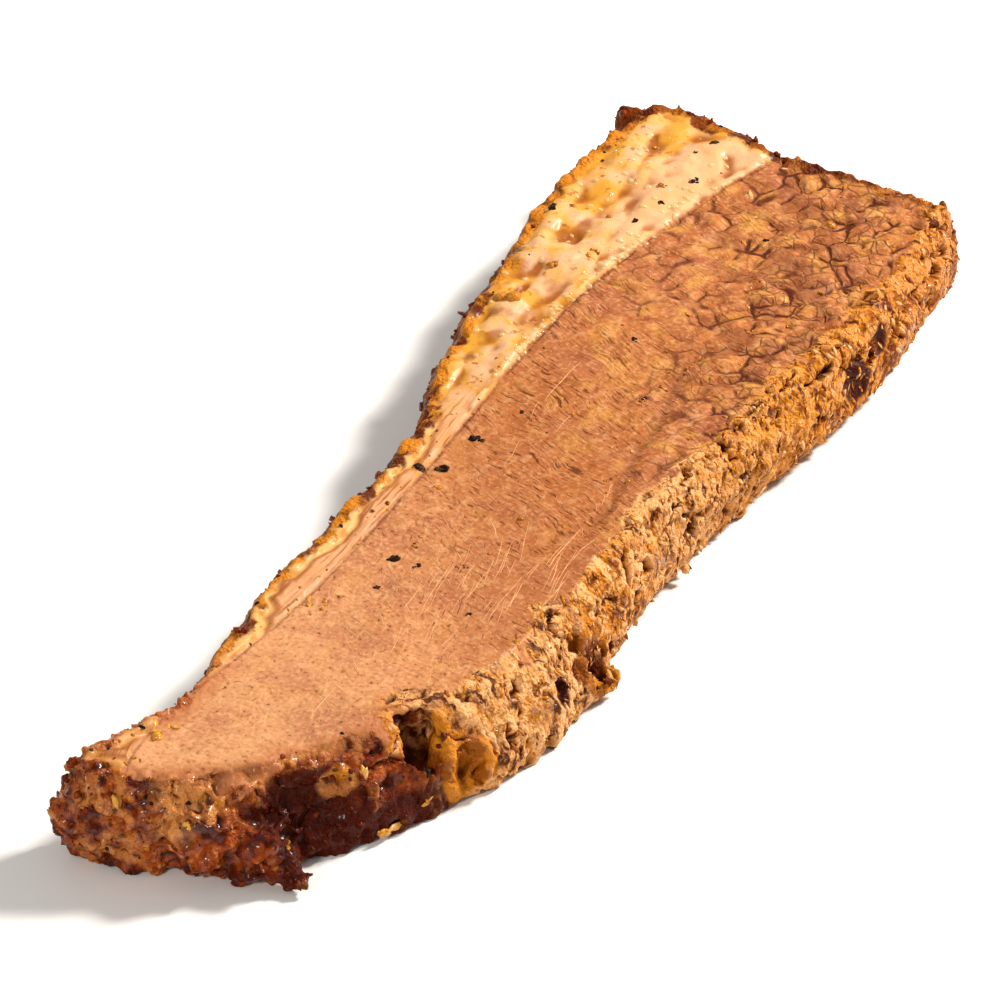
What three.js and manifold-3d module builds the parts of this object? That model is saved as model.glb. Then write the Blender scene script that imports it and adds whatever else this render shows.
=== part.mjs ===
// Braised brisket: one thick slice, as carved across the joint, lying on a cut face.
// Millimetres, +Z up. The origin is under the middle of the slice, on the surface it lies on.
// +X runs along the slice to its broad end, and +Y across it to the fat cap.
import * as THREE from "three";
import { ImprovedNoise } from "three/addons/math/ImprovedNoise.js";
import { mergeVertices } from "three/addons/utils/BufferGeometryUtils.js";
import Module from "manifold-3d";

// Driving dimensions of the cut face and of the slice between its two cuts.
const length = 214;
const width = 64;
const narrowThickness = 17.5;
const broadThickness = 16.5;

// The edges of the upper cut face, as shares of the length and the width from its middle.
const fatEdge = [
  [-0.51, 0.485], [-0.45, 0.4], [-0.39, 0.352], [-0.236, 0.358], [-0.12, 0.325],
  [-0.02, 0.303], [0.07, 0.37], [0.19, 0.416], [0.33, 0.444], [0.47, 0.395],
];
const barkEdge = [
  [-0.51, 0.25], [-0.477, 0.12], [-0.405, -0.085], [-0.35, -0.18], [-0.29, -0.275],
  [-0.2, -0.335], [-0.05, -0.372], [0.08, -0.42], [0.2, -0.48], [0.31, -0.515], [0.447, -0.5],
];
const narrowEnd = [barkEdge[0], [-0.518, 0.37], fatEdge[0]];
const broadEnd = [barkEdge.at(-1), [0.455, -0.33], [0.47, 0], [0.494, 0.29], fatEdge.at(-1)];

// The seam between the lean and the fat cap, in the same shares.
const seamLine = [
  [-0.52, 0.33], [-0.31, 0.294], [-0.15, 0.224], [0, 0.219],
  [0.17, 0.19], [0.276, 0.158], [0.339, 0.117], [0.448, 0], [0.52, -0.1],
];

// How far the crust stands out from the rim of the upper face, in its middle and at its foot.
const rimInset = 0.9;
const sideBelly = 1.5;
const barkBelly = 2.2;
const barkFoot = 6.6;

// Relief of the crust and of the cut face.
const crustLump = 1.9;
const crustGrain = 0.8;
const fatCrown = 1.1;
const faceWave = 0.7;

// Grid of the slice: along, across and through.
const alongSteps = 76;
const acrossSteps = 15;
const throughSteps = 6;

const { clamp, lerp, smoothstep } = THREE.MathUtils;
const noise = new ImprovedNoise();

function curveOf(shares) {
  return new THREE.SplineCurve(shares.map(([x, y]) => new THREE.Vector2(x * length, y * width)));
}

const fatCurve = curveOf(fatEdge);
const barkCurve = curveOf(barkEdge);
const narrowCurve = curveOf(narrowEnd);
const broadCurve = curveOf(broadEnd);
const seamPoints = curveOf(seamLine).getPoints(200);

// A point of the cut face between its four edges: s runs along the slice, t from bark to fat.
function planPoint(s, t) {
  const sides = barkCurve.getPointAt(s).lerp(fatCurve.getPointAt(s), t);
  const ends = narrowCurve.getPointAt(t).lerp(broadCurve.getPointAt(t), s);
  const barkCorners = barkCurve.getPoint(0).lerp(barkCurve.getPoint(1), s);
  const fatCorners = fatCurve.getPoint(0).lerp(fatCurve.getPoint(1), s);
  return sides.add(ends).sub(barkCorners.lerp(fatCorners, t));
}

// The way out of the slice at a point of its rim, square to the side or end it is on.
function outward(s, t) {
  const reach = 4;
  const endward = (2 * s - 1) ** 15;
  const sideward = (2 * t - 1) ** 15;
  const inside = planPoint(s - (endward * reach) / length, t - (sideward * reach) / width);
  return planPoint(s, t).sub(inside).normalize();
}

function seamY(x) {
  const next = Math.max(1, seamPoints.findIndex((p) => p.x >= x));
  const [a, b] = [seamPoints[next - 1], seamPoints[next]];
  return lerp(a.y, b.y, clamp((x - a.x) / (b.x - a.x), 0, 1));
}

function rough(x, y, z, grain) {
  return noise.noise(x / grain + 11.3, y / grain + 5.7, z / grain + 3.1);
}

function topHeight(x, y) {
  const plain = lerp(narrowThickness, broadThickness, clamp(x / length + 0.5, 0, 1));
  const intoFat = smoothstep(y - seamY(x), -1, 4);
  return plain + fatCrown * intoFat * (0.6 + rough(x, y, 0, 9)) + faceWave * rough(x, y, 7, 34);
}

// How far the side of the slice stands out at a level, which is 1 at the top and -1 at the foot.
function standOff(s, t, level) {
  const onBark = 1 - smoothstep(t, 0, 0.45);
  const towardNarrow = 1 - smoothstep(s, 0.34, 0.54);
  const towardBroad = smoothstep(s, 0.4, 0.7);
  const offEnd = smoothstep(s, 0, 0.07);
  const belly = lerp(sideBelly, barkBelly, onBark * towardBroad) * (1 - level ** 2);
  const foot = (barkFoot * onBark * towardNarrow * offEnd * (1 - level)) / 2;
  return belly + foot - rimInset * level ** 6;
}

// Moves one corner of the box grid, -1 to 1 on each axis, to its place on the slice.
function placeCorner(point) {
  const s = (point.x + 1) / 2;
  const t = (point.y + 1) / 2;
  const level = point.z;
  const plan = planPoint(s, t);
  const z = (topHeight(plan.x, plan.y) * (level + 1)) / 2;
  const lumps =
    crustLump * rough(plan.x, plan.y, z, 10) + crustGrain * rough(plan.x, plan.y, z, 4);
  const rim = Math.max(Math.abs(point.x), Math.abs(point.y)) ** 10;
  const out = standOff(s, t, level) + lumps * (1 - 0.55 * level ** 2);
  plan.addScaledVector(outward(s, t), out * rim);
  point.set(plan.x, plan.y, z);
}

function sliceGeometry() {
  const box = new THREE.BoxGeometry(2, 2, 2, alongSteps, acrossSteps, throughSteps);
  const corners = box.getAttribute("position");
  const corner = new THREE.Vector3();
  for (let i = 0; i < corners.count; i += 1) {
    corner.fromBufferAttribute(corners, i);
    placeCorner(corner);
    corners.setXYZ(i, corner.x, corner.y, corner.z);
  }
  return box;
}

// A knob of crust, or the shape of a pit: an uneven ball with its own radii.
function knobGeometry({ at, radii, turn = 0, unevenness = 0.3, grain = 0.8 }) {
  const ball = new THREE.IcosahedronGeometry(1, 4);
  const corners = ball.getAttribute("position");
  const corner = new THREE.Vector3();
  const [dx, dy, dz] = at;
  for (let i = 0; i < corners.count; i += 1) {
    corner.fromBufferAttribute(corners, i);
    const { x, y, z } = corner;
    const swell = noise.noise(x / grain + dx, y / grain + dy, z / grain + dz);
    corner.multiplyScalar(1 + unevenness * swell);
    corners.setXYZ(i, corner.x, corner.y, corner.z);
  }
  return ball.scale(...radii).rotateZ(turn).translate(...at);
}

// Knobs of crust that stand out from the narrow end, the bark side and the fat corner.
const crustKnobs = [
  { at: [-104.2, 9.5, 7.2], radii: [7, 7.2, 7.4], unevenness: 0.45 },
  { at: [-101.8, 2.4, 4.4], radii: [6.6, 5.8, 5.2], turn: 0.6, unevenness: 0.45 },
  { at: [-97.8, 0.2, 9], radii: [3.4, 3, 2.6], turn: 0.6, unevenness: 0.5 },
  { at: [-103.8, -4.6, 1.9], radii: [2.6, 3, 2.3], unevenness: 0.2 },
  { at: [-106.6, 21.5, 7.6], radii: [3.8, 6, 7.8], unevenness: 0.4 },
  { at: [-105.4, 29.2, 9], radii: [4.2, 3.8, 7.2], unevenness: 0.4 },
  { at: [-36, -25.6, 2.6], radii: [4.4, 3.2, 3.2], turn: -0.25 },
  { at: [101.5, 24.5, 12.5], radii: [4.2, 4.2, 4.6], unevenness: 0.4 },
];

// Pits in the crust of the bark side, from the narrow end to the broad one.
const barkPits = [
  { at: [-75, -13.4, 11.4], radii: [3.8, 4.6, 6], turn: -0.7 },
  { at: [-70.5, -20.5, 6.4], radii: [2.8, 3, 4.4], turn: -0.5 },
  { at: [-46.6, -26.4, 8], radii: [3, 2.2, 3.2], turn: -0.3 },
  { at: [-35, -28.4, 7.4], radii: [2.8, 3.4, 4], turn: -0.2 },
  { at: [5, -28.2, 3.4], radii: [2.2, 2.2, 2.8] },
  { at: [53, -35.2, 8], radii: [4, 2.6, 3.8] },
  { at: [61, -36, 12], radii: [3.2, 2.2, 3.2] },
];

const wasm = await Module();
wasm.setup();

function solidOf(geometry) {
  geometry.deleteAttribute("normal");
  geometry.deleteAttribute("uv");
  const merged = mergeVertices(geometry, 1e-4);
  const vertProperties = new Float32Array(merged.getAttribute("position").array);
  const triVerts = new Uint32Array(merged.index.array);
  return new wasm.Manifold(new wasm.Mesh({ numProp: 3, vertProperties, triVerts }));
}

function geometryOf(solid) {
  const mesh = solid.getMesh();
  const geometry = new THREE.BufferGeometry();
  geometry.setAttribute("position", new THREE.BufferAttribute(mesh.vertProperties, 3));
  geometry.setIndex(new THREE.BufferAttribute(mesh.triVerts, 1));
  geometry.computeVertexNormals();
  return geometry;
}

// Everything under the surface that the slice lies on.
function underSurface() {
  const depth = 40;
  return new THREE.BoxGeometry(length * 2, width * 3, depth).translate(0, 0, -depth / 2);
}

function carvedSlice() {
  let slice = solidOf(sliceGeometry());
  for (const knob of crustKnobs) slice = slice.add(solidOf(knobGeometry(knob)));
  for (const pit of barkPits) slice = slice.subtract(solidOf(knobGeometry(pit)));
  return geometryOf(slice.subtract(solidOf(underSurface())));
}

const meat = new THREE.MeshStandardMaterial({ color: 0xc98052, roughness: 0.5, metalness: 0 });
const slice = new THREE.Mesh(carvedSlice(), meat);
slice.name = "brisket_slice";

// The origin goes under the middle of the slice.
slice.geometry.computeBoundingBox();
const middle = slice.geometry.boundingBox.getCenter(new THREE.Vector3());
slice.position.set(-middle.x, -middle.y, 0);

const brisket = new THREE.Group();
brisket.add(slice);

export default brisket;
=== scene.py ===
"""The looks of a braised brisket slice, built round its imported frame."""

import math
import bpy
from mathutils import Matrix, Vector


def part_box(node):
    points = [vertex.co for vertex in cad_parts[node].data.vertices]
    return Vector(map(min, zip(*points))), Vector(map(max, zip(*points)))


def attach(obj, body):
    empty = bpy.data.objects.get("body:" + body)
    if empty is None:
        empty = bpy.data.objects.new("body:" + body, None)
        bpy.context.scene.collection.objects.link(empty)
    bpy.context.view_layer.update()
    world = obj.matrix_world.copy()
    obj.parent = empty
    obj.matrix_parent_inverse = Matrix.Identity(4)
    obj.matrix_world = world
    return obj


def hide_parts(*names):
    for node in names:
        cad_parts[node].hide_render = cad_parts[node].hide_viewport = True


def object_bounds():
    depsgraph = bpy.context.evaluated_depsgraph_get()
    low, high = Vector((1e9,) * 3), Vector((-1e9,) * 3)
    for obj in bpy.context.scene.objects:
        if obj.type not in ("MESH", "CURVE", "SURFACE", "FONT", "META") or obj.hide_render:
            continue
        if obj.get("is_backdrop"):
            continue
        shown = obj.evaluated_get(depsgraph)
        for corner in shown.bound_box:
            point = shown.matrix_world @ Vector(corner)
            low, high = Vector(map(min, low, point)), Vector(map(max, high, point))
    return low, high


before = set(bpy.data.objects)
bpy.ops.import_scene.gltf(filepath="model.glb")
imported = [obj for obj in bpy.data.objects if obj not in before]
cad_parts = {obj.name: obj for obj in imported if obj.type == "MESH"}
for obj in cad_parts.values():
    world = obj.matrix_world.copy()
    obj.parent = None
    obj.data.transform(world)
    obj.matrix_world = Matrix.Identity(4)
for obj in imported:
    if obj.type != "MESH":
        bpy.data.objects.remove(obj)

from types import SimpleNamespace

import bpy
import numpy as np
from bpy.props import FloatProperty, FloatVectorProperty, IntProperty, PointerProperty
from mathutils import Matrix, Vector, kdtree

bl_info = {
    "name": "Braised Brisket",
    "version": (1, 0, 0),
    "blender": (4, 5, 0),
    "location": "View3D > Sidebar > Brisket",
    "description": "Builds a slice of braised brisket with its crust, crumbs and studio",
    "category": "Add Mesh",
}

CAD_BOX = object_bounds()
MM = 0.001
LOW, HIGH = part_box("brisket_slice")
SPAN = HIGH - LOW
TOP = HIGH.z / MM

# The seam between the lean and the fat cap, as shares of the slice's length and width.
SEAM = (
    (0.006, 0.824), (0.21, 0.791), (0.366, 0.726), (0.512, 0.722),
    (0.677, 0.695), (0.78, 0.665), (0.841, 0.627), (0.947, 0.52), (1.017, 0.428),
)

# The degree of the smooth curve through the seam's points.
SEAM_DEGREE = 6

# Bits that lie on the cut face, as x, y and size in millimetres, and the amber ones as x and y.
PEPPER = (
    (70.1, 27.0, 1.0), (87.7, 9.0, 0.8), (79.2, 11.9, 0.7), (73.1, 13.5, 0.7), (99.2, 11.3, 1.0),
    (95.1, 12.7, 0.6), (4.2, 11.2, 1.2), (14.3, 8.0, 0.5), (-7.6, 15.8, 1.2), (-6.8, 12.8, 1.1),
    (-33.7, 8.9, 1.3), (-33.8, 4.8, 0.6), (-41.6, 8.6, 0.5), (-42.8, -7.4, 0.6), (77.6, -7.1, 0.6),
    (40.7, -0.4, 0.6),
)
BROWNED = (
    (41.1, 23.5, 2.0), (72.7, 24.0, 0.9), (72.9, 18.2, 0.9), (61.6, 14.4, 0.8),
    (59.6, 15.5, 0.8), (54.7, 20.7, 1.1), (83.9, 12.8, 0.9), (-11.3, 11.1, 0.9),
)
AMBER = ((36.1, -10.1), (24.0, -8.6), (2.1, -13.9), (-31.7, -1.1), (-28.3, 7.6), (-49.8, 14.0))

# Cavities of the bark side: middle and radii in millimetres, and the way the wall runs there in degrees.
CAVITIES = (
    ((-72.5, -12.0, 11.4), (3.8, 4.6, 6.0), -36), ((-68.0, -19.1, 6.4), (2.8, 3.0, 4.4), -40),
    ((-32.5, -27.0, 7.4), (3.2, 3.4, 4.6), -12), ((-44.1, -25.0, 8.0), (2.4, 2.2, 3.0), -14),
    ((55.5, -33.8, 8.0), (4.0, 2.6, 3.8), -4), ((63.5, -34.6, 12.0), (3.2, 2.2, 3.2), -4),
)
# Golden lobes by the first cavity: middle, and radii along the wall, up and out of it.
LOBES = (
    ((-80.6, -6.0, 7.4), (2.2, 3.4, 1.3)), ((-78.0, -8.2, 12.6), (1.5, 2.2, 1.1)),
    ((-75.4, -9.8, 12.4), (1.3, 2.4, 1.2)), ((-84.4, -2.4, 11.6), (1.6, 1.4, 0.9)),
)
# The first cavity holds a cracked peppercorn of its own.
PEPPER_IN_CAVITY = (-74.4, -13.8, 8.8)
# Yellow shreds: place, size and heading, in millimetres and radians.
SHREDS = (
    ((-94.0, 22.8, TOP), 2.0, 0.6), ((-91.0, 21.5, TOP), 1.2, 1.8), ((-105.5, 24.0, 14.0), 2.0, 0.2),
    ((-107.5, 12.0, 12.0), 1.4, 1.0), ((-49.8, 16.5, TOP), 1.2, 0.4), ((-84.2, -8.2, 13.0), 1.5, 0.9),
    ((-83.6, -13.0, 0.9), 2.2, 2.8), ((-98.5, -2.6, 7.0), 1.4, 0.5), ((-76.0, -15.5, 4.0), 1.2, 0.0),
)
# The hollow between the chunk of crust and the first cavity: middle and radii. The finish paints it with
# the darkest crust, as painted shade.
SCOOP = ((-91.0, 1.5, 8.6), (10.0, 10.0, 6.2))
# The lighter flap of crust beside that hollow: middle and radii.
FLAP = ((-88.0, -6.4, 12.0), (3.2, 3.0, 3.0))

# What the slice keeps as attributes for its finish: slow patterns, distances and hollows.
PATTERNS = ("broad", "mottle", "tone", "ragged", "stain", "wet", "breaks", "pits")
MEASURES = ("seam", "rim", "wall", "hollow", "cavity", "curl")

# How far a knob or a topping may stand over the frame, in metres.
TOP_SLACK = 0.5 * MM
# Faces whose normals have less height than this belong to the sides.
SIDE_LIMIT = 0.6
# The heights between which a cavity's golden rim can hold a lump, in millimetres.
RIM_FOOT, RIM_TOP = 1.5, 16.2
# The angle between the lumps of a golden rim, in radians.
RIM_STEP = 0.28
# The dark crust of the narrow end reaches this far along, in millimetres.
DARK_END = -88
# Where fibres are pulled up, from the narrow end on, in millimetres.
FIBRES_FROM, FIBRES_TO = -92, 20
# The spins that a lump takes by chance: about a full turn, in radians.
ANY_SPIN = (0, 6.3)
# On the underside the relief is lowered by this much and never stands out, in millimetres.
UNDER_PRESS = 0.4
# Rounds of smoothing that a hollow's near and wider surroundings take.
NEAR_ROUNDS, WIDE_ROUNDS = 9, 70
# The share of its triangles that the underside can spare.
SPARE_UNDER = 0.6
# The floor's width and the lamps' distance, in metres.
FLOOR_WIDTH = 6
LAMP_DISTANCE = 1.1
# What the camera looks at, as shares of the slice's length, width and height.
AIM = (0.508, 0.59, 0.42)


def srgb(text):
    """A colour written as six hex digits, in the linear values that shaders use."""
    steps = [int(text[i : i + 2], 16) / 255 for i in (0, 2, 4)]
    return tuple(s / 12.92 if s <= 0.04045 else ((s + 0.055) / 1.055) ** 2.4 for s in steps)


# ---------------------------------------------------------------- node expressions


class Value:
    """A socket of a node tree: an expression of values adds the nodes that work it out."""

    def __init__(self, graph, socket):
        self.graph = graph
        self.socket = socket

    def __add__(self, other):
        return self.graph.math("ADD", self, other)

    def __sub__(self, other):
        return self.graph.math("SUBTRACT", self, other)

    def __mul__(self, other):
        return self.graph.math("MULTIPLY", self, other)

    def __truediv__(self, other):
        return self.graph.math("DIVIDE", self, other)

    def __rsub__(self, other):
        return self.graph.math("SUBTRACT", other, self)

    def __abs__(self):
        return self.graph.math("ABSOLUTE", self)

    __radd__ = __add__
    __rmul__ = __mul__

    def step(self, low, high, start=0.0, stop=1.0):
        """Runs smoothly from start to stop as the value goes from low to high."""
        inputs = {"Value": self, "From Min": low, "From Max": high, "To Min": start, "To Max": stop}
        return self.graph.node("ShaderNodeMapRange", {"interpolation_type": "SMOOTHSTEP"}, inputs)

    def bell(self, centre, reach):
        """One at the centre, and smoothly down to nothing at its reach on both sides."""
        return abs(self - centre).step(reach, 0.0)

    def combined(self, operation, other=(0, 0, 0), output=0):
        """Vector maths on the place."""
        inputs = {0: self, 1: other}
        return self.graph.node("ShaderNodeVectorMath", {"operation": operation}, inputs, output)

    def moved(self, offset):
        return self.combined("ADD", offset)

    def scaled(self, factor):
        inputs = {"Vector": self, "Scale": factor}
        return self.graph.node("ShaderNodeVectorMath", {"operation": "SCALE"}, inputs)

    def dot(self, direction):
        return self.combined("DOT_PRODUCT", direction, "Value")

    def parts(self):
        """The x, y and z of the place."""
        split = self.graph.node("ShaderNodeSeparateXYZ", inputs={0: self}).socket.node
        return [Value(self.graph, socket) for socket in split.outputs]

    def noise(self, size, detail=2.0, rough=0.5, output="Fac"):
        """Soft noise from 0 to 1 with lumps of that size, in millimetres."""
        inputs = {"Vector": self, "Scale": 1 / size, "Detail": detail, "Roughness": rough}
        return self.graph.node("ShaderNodeTexNoise", {"noise_dimensions": "3D"}, inputs, output)

    def warped(self, size, amount):
        """The place pushed about by noise, by up to that many millimetres."""
        push = self.noise(size, output="Color").combined("SUBTRACT", (0.5, 0.5, 0.5))
        return self.moved(push.scaled(amount * 2))

    def cells(self, size, feature="DISTANCE_TO_EDGE"):
        """Distance from the edges of cells of that size, or from their middles with F1."""
        inputs = {"Vector": self, "Scale": 1 / size}
        return self.graph.node("ShaderNodeTexVoronoi", {"feature": feature}, inputs, "Distance")


class Graph:
    """Adds nodes to a material's tree or a geometry tree, which share their texture and maths nodes."""

    def __init__(self, tree):
        self.tree = tree

    def node(self, kind, settings=None, inputs=None, output=0):
        made = self.tree.nodes.new(kind)
        for name, value in (settings or {}).items():
            setattr(made, name, value)
        for name, value in (inputs or {}).items():
            self.feed(made.inputs[name], value)
        return Value(self, made.outputs[output])

    def feed(self, socket, value):
        if isinstance(value, Value):
            self.tree.links.new(value.socket, socket)
        elif hasattr(value, "__len__") and socket.type == "RGBA":
            socket.default_value = (*value, 1)[:4]
        else:
            socket.default_value = value

    def math(self, operation, a, b=0.0):
        return self.node("ShaderNodeMath", {"operation": operation}, {0: a, 1: b})

    def bump(self, height):
        """A normal raised by a height in millimetres."""
        return self.node("ShaderNodeBump", inputs={"Strength": 1.0, "Distance": MM, "Height": height})

    def read(self, name, kind="FLOAT"):
        """An attribute of the piece."""
        if self.tree.type == "GEOMETRY":
            return self.node("GeometryNodeInputNamedAttribute", {"data_type": kind}, {"Name": name})
        output = "Fac" if kind == "FLOAT" else "Vector"
        return self.node("ShaderNodeAttribute", {"attribute_name": name}, output=output)


def vector(x, y, z):
    """A place from its three parts, of which x is a value."""
    return x.graph.node("ShaderNodeCombineXYZ", inputs={"X": x, "Y": y, "Z": z})


def largest(first, *others):
    """The largest of some values."""
    for other in others:
        first = first.graph.math("MAXIMUM", first, other)
    return first


def mix(factor, low, high):
    """The low colour where the factor is 0 and the high colour where it is 1."""
    # A Mix node has sockets for every kind of data: inputs 6 and 7 and output 2 are its colours.
    return factor.graph.node("ShaderNodeMix", {"data_type": "RGBA"}, {0: factor, 6: low, 7: high}, 2)


def paint(colour, *layers):
    """The colour under layers, each a factor and the colour that it brings."""
    for factor, layer in layers:
        colour = mix(factor, colour, layer)
    return colour


def material_graph(name, roughness=0.5, **constants):
    """A material with one Principled shader, and the graph that feeds it."""
    made = bpy.data.materials.new(name)
    made.use_nodes = True
    graph = Graph(made.node_tree)
    shader = made.node_tree.nodes["Principled BSDF"]
    shader.inputs["Roughness"].default_value = roughness
    for socket, value in constants.items():
        graph.feed(shader.inputs[socket.replace("_", " ")], value)
    return made, graph, shader.inputs


# ---------------------------------------------------------------- meshes


def seam_line():
    """The seam as a smooth curve: y in millimetres for x in millimetres."""
    along = [(LOW.x + share * SPAN.x) / MM for share, _ in SEAM]
    across = [(LOW.y + share * SPAN.y) / MM for _, share in SEAM]
    return np.polynomial.Polynomial.fit(along, across, SEAM_DEGREE)


def past_seam(places):
    """How far places lie past the seam, into the fat, in millimetres."""
    line = seam_line()
    slope = line.deriv()(places[:, 0])
    return (places[:, 1] - line(places[:, 0])) / np.sqrt(1 + slope**2)


def vectors_of(items, field):
    """A vector of each vertex or normal, as the rows of an array."""
    found = np.empty(len(items) * 3, np.float32)
    items.foreach_get(field, found)
    return found.reshape(-1, 3)


def corners_of(mesh):
    return vectors_of(mesh.vertices, "co")


def normals_of(mesh):
    return vectors_of(mesh.vertex_normals, "vector")


class Skin:
    """The triangles of a mesh in millimetres: where they lie, how they face, and what they carry."""

    def __init__(self, mesh):
        self.mesh = mesh
        mesh.calc_loop_triangles()
        index = np.empty(len(mesh.loop_triangles) * 3, np.int32)
        mesh.loop_triangles.foreach_get("vertices", index)
        self.index = index.reshape(-1, 3)
        self.corners = corners_of(mesh)[self.index] / MM
        first, second, third = self.corners.transpose(1, 0, 2)
        cross = np.cross(second - first, third - first)
        length = np.linalg.norm(cross, axis=1) + 1e-12
        self.areas = length / 2
        self.normals = cross / length[:, None]
        self.upward = self.normals[:, 2]
        self.places = self.corners.mean(axis=1)

    def read(self, name):
        """An attribute of the mesh, as the mean over each triangle."""
        values = np.empty(len(self.mesh.vertices), np.float32)
        self.mesh.attributes[name].data.foreach_get("value", values)
        return values[self.index].mean(axis=1)

    def sow(self, count, rng, weight):
        """Random places and their normals, as dense as the weight of each triangle."""
        chance = self.areas * weight
        picked = rng.choice(len(chance), count, p=chance / chance.sum())
        a, b = rng.random((2, count, 1))
        fold = (a + b) > 1
        a, b = np.where(fold, 1 - a, a), np.where(fold, 1 - b, b)
        first, second, third = self.corners[picked].transpose(1, 0, 2)
        return zip(first + a * (second - first) + b * (third - first), self.normals[picked])


def mesh_object(name, places, faces):
    mesh = bpy.data.meshes.new(name)
    mesh.from_pydata(places, [], faces)
    mesh.update()
    made = bpy.data.objects.new(name, mesh)
    bpy.context.collection.objects.link(made)
    return made


def only(piece):
    """Makes the piece the one selected and active object."""
    bpy.ops.object.select_all(action="DESELECT")
    piece.select_set(True)
    bpy.context.view_layer.objects.active = piece


def modify(piece, kind, **settings):
    """Adds a modifier with these settings and applies it."""
    only(piece)
    modifier = piece.modifiers.new(kind.lower(), kind)
    for name, value in settings.items():
        setattr(modifier, name, value)
    bpy.ops.object.modifier_apply(modifier=modifier.name)


def write_attribute(mesh, name, values, kind="FLOAT"):
    layer = mesh.attributes.new(name, kind, "POINT")
    field = "vector" if kind == "FLOAT_VECTOR" else "value"
    layer.data.foreach_set(field, np.ravel(values).astype(np.float32))


def lump_template(rounds):
    """The corners and faces of one small round lump."""
    bpy.ops.object.select_all(action="DESELECT")
    bpy.ops.mesh.primitive_ico_sphere_add(subdivisions=rounds, radius=1)
    lump = bpy.context.object
    corners = corners_of(lump.data)
    faces = np.array([tuple(f.vertices) for f in lump.data.polygons])
    bpy.data.objects.remove(lump)
    return corners, faces


def turn_to(normal, spin):
    """A turn that takes +Z to the normal, after a spin about it."""
    upright = Vector((0, 0, 1)).rotation_difference(Vector(normal)).to_matrix()
    return np.array(upright @ Matrix.Rotation(spin, 3, "Z"))


def joined_lumps(name, lumps, roughness, rng, rounds=2):
    """One mesh of many lumps, each (place, normal, radii along its axes, spin) in millimetres."""
    corners, faces = lump_template(rounds)
    places, sides = [], []
    for place, normal, radii, spin in lumps:
        rough = 1 + roughness * rng.standard_normal(len(corners))[:, None]
        places.append((corners * rough * np.array(radii)) @ turn_to(normal, spin).T + np.array(place))
        sides.append(faces + len(corners) * len(sides))
    piece = mesh_object(name, np.concatenate(places) * MM, np.concatenate(sides).tolist())
    write_attribute(piece.data, "tone", np.repeat(rng.random(len(lumps)), len(corners)))
    return piece


def joined_strands(name, strands, rng):
    """One mesh of many thin strands, each a list of (place, normal, radius) in millimetres."""
    places, sides = [], []
    for strand in strands:
        middles, normals, radii = (np.array(part) for part in zip(*strand))
        across = np.cross(normals, np.gradient(middles, axis=0))
        across /= np.linalg.norm(across, axis=1)[:, None]
        rings = [middles + radii[:, None] * way for way in (across, normals, -across, -normals)]
        first = 4 * np.arange(len(middles) - 1)[:, None, None] + sum(len(p) for p in places)
        round_by = np.array([(k, (k + 1) % 4, (k + 1) % 4 + 4, k + 4) for k in range(4)])
        sides.extend((first + round_by).reshape(-1, 4))
        start, end = first[0, 0, 0], first[-1, 0, 0] + 4
        sides.extend([range(start, start + 4), range(end, end + 4)])
        places.append(np.stack(rings, axis=1).reshape(-1, 3))
    piece = mesh_object(name, np.concatenate(places) * MM, [[int(i) for i in side] for side in sides])
    only(piece)
    bpy.ops.object.mode_set(mode="EDIT")
    bpy.ops.mesh.select_all(action="SELECT")
    bpy.ops.mesh.normals_make_consistent(inside=False)
    bpy.ops.object.mode_set(mode="OBJECT")
    write_attribute(piece.data, "tone", np.repeat(rng.random(len(places)), [len(p) for p in places]))
    return piece


def tilted(normal, spread, rng):
    """The normal leaning by chance."""
    leaning = normal + rng.normal(0, spread, 3)
    return leaning / np.linalg.norm(leaning)


def ramp(values, low, high):
    """Numbers from 0 at low to 1 at high, straight between."""
    return np.clip((values - low) / (high - low), 0, 1)


def neighbour_mean(values, edges, count):
    """For each corner, the mean of the values at the corners joined to it."""
    first, second = edges[:, 0], edges[:, 1]
    joins = np.bincount(first, minlength=count) + np.bincount(second, minlength=count)
    total = np.stack([
        np.bincount(first, values[second, k], count) + np.bincount(second, values[first, k], count)
        for k in range(values.shape[1])
    ], axis=1)
    return total / np.maximum(joins, 1)[:, None]


def hollows(mesh, fine, wide):
    """How deep each corner sits below its near and its wider surroundings, in millimetres."""
    edges = np.empty(len(mesh.edges) * 2, np.int32)
    mesh.edges.foreach_get("vertices", edges)
    edges = edges.reshape(-1, 2)
    start = corners_of(mesh).astype(np.float64)
    normals = normals_of(mesh)
    smooth = start
    found = []
    for turn in range(1, wide + 1):
        smooth = 0.3 * smooth + 0.7 * neighbour_mean(smooth, edges, len(start))
        if turn in (fine, wide):
            found.append(((smooth - start) * normals).sum(axis=1) / MM)
    return found


# ---------------------------------------------------------------- patterns of the meat


def columns(place):
    """The place with its height squeezed, because the meat's bundles run down through the slice."""
    return place.combined("MULTIPLY", (1, 1, 0.15))


def bent_columns(place):
    """Columns bent by the meat's uneven growth, in which its bundles are laid out."""
    return columns(place).warped(10.0, 2.4).warped(2.2, 0.5)


def bundle_edges(bent):
    """Distance from the edges of the meat's bundles and of smaller ones, in bundle sizes."""
    return bent.cells(4.8), bent.moved((31, 17, 0)).cells(2.7)


def along_lean(place):
    """Grows from the front of the lean towards the broad, coarse end."""
    x, y, _ = place.parts()
    return x - 1.6 * y


def puffiness(place, fields):
    """One where the lean is coarse and puffed, at the broad end."""
    uneven = (fields.broad - 0.5) * 60 + (fields.mottle - 0.5) * 40
    return (along_lean(place) + uneven).step(5, 80)


def crease(place):
    """One along the soft crease that runs beside the bark side."""
    x, y, _ = place.warped(9.0, 1.6).parts()
    line = -13.6 + 0.11 * (x - 10)
    return (y - line).bell(0.0, 1.8) * x.step(-20, -8) * x.step(42, 30)


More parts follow.
